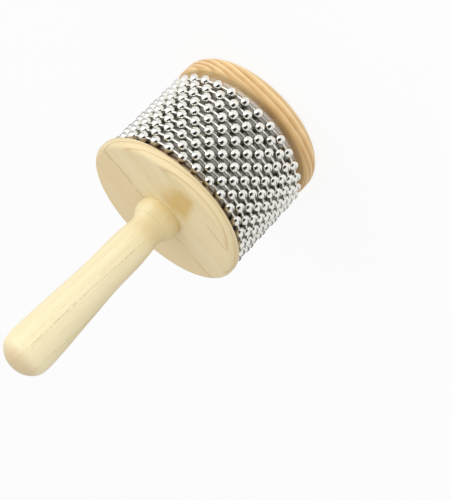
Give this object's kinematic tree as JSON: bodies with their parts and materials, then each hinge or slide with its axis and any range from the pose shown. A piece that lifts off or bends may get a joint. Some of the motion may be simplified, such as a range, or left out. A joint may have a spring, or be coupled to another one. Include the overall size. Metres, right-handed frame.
{
  "type": "cabasa",
  "caption": "Small hand percussion shaker: a turned wooden handle on a drum between two wooden plates, with separate loops of steel ball chain that turn round a bright steel sleeve.",
  "frame": {"origin": "centre of the outer plate's flat outer face, which the part stands on", "axes": "+Z along the common axis of handle, plates, drum and chain loops, from the outer plate to the handle's rounded end; +X and +Y are any two square directions, with the sleeve's seam on +Y"},
  "size_m": [0.087, 0.087, 0.1752],
  "materials": {
    "handle_wood": "pale turned wood, sanded, thin clear coat",
    "front_plate_wood": "pale wood, sanded, thin clear coat",
    "rear_plate_wood": "striped warm pine, sanded, thin clear coat",
    "drum_wood": "plain wood, hidden under the steel sheet",
    "sleeve_steel": "bright rolled sheet",
    "chain_steel": "polished plated steel",
    "screw_steel": "zinc-plated"
  },
  "bodies": {
    "head": {"handle": "handle_wood", "front_plate": "front_plate_wood", "rear_plate": "rear_plate_wood", "drum": "drum_wood", "sleeve": "sleeve_steel", "rear_screw": "screw_steel"},
    "loop_01": {"loop_01_beads": "chain_steel", "loop_01_links": "chain_steel"},
    "loop_02": {"loop_02_beads": "chain_steel", "loop_02_links": "chain_steel"},
    "loop_03": {"loop_03_beads": "chain_steel", "loop_03_links": "chain_steel"},
    "loop_04": {"loop_04_beads": "chain_steel", "loop_04_links": "chain_steel"},
    "loop_05": {"loop_05_beads": "chain_steel", "loop_05_links": "chain_steel"},
    "loop_06": {"loop_06_beads": "chain_steel", "loop_06_links": "chain_steel"},
    "loop_07": {"loop_07_beads": "chain_steel", "loop_07_links": "chain_steel"},
    "loop_08": {"loop_08_beads": "chain_steel", "loop_08_links": "chain_steel"},
    "loop_09": {"loop_09_beads": "chain_steel", "loop_09_links": "chain_steel"},
    "loop_10": {"loop_10_beads": "chain_steel", "loop_10_links": "chain_steel"}
  },
  "joints": [
    {"name": "loop_01_turn", "type": "hinge", "parent": "head", "child": "loop_01", "pos_m": [0, 0, 0.05914], "axis": [0, 0, 1], "continuous": true},
    {"name": "loop_02_turn", "type": "hinge", "parent": "head", "child": "loop_02", "pos_m": [0, 0, 0.05434], "axis": [0, 0, 1], "continuous": true},
    {"name": "loop_03_turn", "type": "hinge", "parent": "head", "child": "loop_03", "pos_m": [0, 0, 0.04954], "axis": [0, 0, 1], "continuous": true},
    {"name": "loop_04_turn", "type": "hinge", "parent": "head", "child": "loop_04", "pos_m": [0, 0, 0.04474], "axis": [0, 0, 1], "continuous": true},
    {"name": "loop_05_turn", "type": "hinge", "parent": "head", "child": "loop_05", "pos_m": [0, 0, 0.03994], "axis": [0, 0, 1], "continuous": true},
    {"name": "loop_06_turn", "type": "hinge", "parent": "head", "child": "loop_06", "pos_m": [0, 0, 0.03514], "axis": [0, 0, 1], "continuous": true},
    {"name": "loop_07_turn", "type": "hinge", "parent": "head", "child": "loop_07", "pos_m": [0, 0, 0.03034], "axis": [0, 0, 1], "continuous": true},
    {"name": "loop_08_turn", "type": "hinge", "parent": "head", "child": "loop_08", "pos_m": [0, 0, 0.02554], "axis": [0, 0, 1], "continuous": true},
    {"name": "loop_09_turn", "type": "hinge", "parent": "head", "child": "loop_09", "pos_m": [0, 0, 0.02074], "axis": [0, 0, 1], "continuous": true},
    {"name": "loop_10_turn", "type": "hinge", "parent": "head", "child": "loop_10", "pos_m": [0, 0, 0.01594], "axis": [0, 0, 1], "continuous": true}
  ]
}
